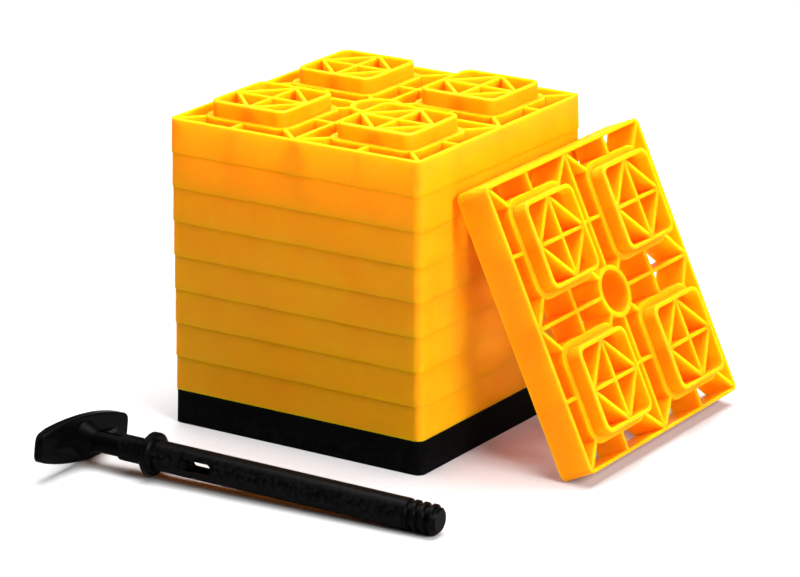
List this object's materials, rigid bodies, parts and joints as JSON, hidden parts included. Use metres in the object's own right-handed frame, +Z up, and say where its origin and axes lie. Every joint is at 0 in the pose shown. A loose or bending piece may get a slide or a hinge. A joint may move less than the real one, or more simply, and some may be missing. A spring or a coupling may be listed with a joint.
{
  "type": "leveling block set",
  "caption": "Stack of square interlocking leveling blocks on a black base block, one block leaning on it, with a black T-handle lying in front.",
  "frame": {"origin": "middle of the base block's underside, on the floor", "axes": "+Z up along the stack's bore; +X from the stack towards the leaning block; -Y towards the handle lying in front"},
  "size_m": [0.3424, 0.4172, 0.2418],
  "materials": {
    "block_plastic": "satin moulded polyethylene",
    "base_plastic": "satin moulded polyethylene",
    "handle_plastic": "semi-gloss moulded nylon"
  },
  "bodies": {
    "base": {"base_block": "base_plastic"},
    "block_1_body": {"block_1": "block_plastic"},
    "block_2_body": {"block_2": "block_plastic"},
    "block_3_body": {"block_3": "block_plastic"},
    "block_4_body": {"block_4": "block_plastic"},
    "block_5_body": {"block_5": "block_plastic"},
    "block_6_body": {"block_6": "block_plastic"},
    "block_7_body": {"block_7": "block_plastic"},
    "block_8_body": {"block_8": "block_plastic"},
    "leaning_body": {"leaning_block": "block_plastic"},
    "handle_body": {"handle_shaft": "handle_plastic", "handle_collar": "handle_plastic"},
    "grip_body": {"handle_grip": "handle_plastic", "grip_cap": "handle_plastic"}
  },
  "joints": [
    {"name": "block_1_lift", "type": "slide", "parent": "base", "child": "block_1_body", "axis": [0, 0, 1], "range_m": [0, 0.03]},
    {"name": "block_2_lift", "type": "slide", "parent": "block_1_body", "child": "block_2_body", "axis": [0, 0, 1], "range_m": [0, 0.03]},
    {"name": "block_3_lift", "type": "slide", "parent": "block_2_body", "child": "block_3_body", "axis": [0, 0, 1], "range_m": [0, 0.03]},
    {"name": "block_4_lift", "type": "slide", "parent": "block_3_body", "child": "block_4_body", "axis": [0, 0, 1], "range_m": [0, 0.03]},
    {"name": "block_5_lift", "type": "slide", "parent": "block_4_body", "child": "block_5_body", "axis": [0, 0, 1], "range_m": [0, 0.03]},
    {"name": "block_6_lift", "type": "slide", "parent": "block_5_body", "child": "block_6_body", "axis": [0, 0, 1], "range_m": [0, 0.03]},
    {"name": "block_7_lift", "type": "slide", "parent": "block_6_body", "child": "block_7_body", "axis": [0, 0, 1], "range_m": [0, 0.03]},
    {"name": "block_8_lift", "type": "slide", "parent": "block_7_body", "child": "block_8_body", "axis": [0, 0, 1], "range_m": [0, 0.03]},
    {"name": "leaning_block_tip", "type": "hinge", "parent": "base", "child": "leaning_body", "pos_m": [0.19766, 0.04227, 0], "axis": [-0.0175, 0.9998, 0], "range_deg": [0, 24.2]},
    {"name": "handle_lift", "type": "slide", "parent": "base", "child": "handle_body", "axis": [0, 0, 1], "range_m": [0, 0.1]},
    {"name": "grip_telescope", "type": "slide", "parent": "handle_body", "child": "grip_body", "axis": [0.9982, 0.0541, -0.0254], "range_m": [0, 0.019]}
  ]
}
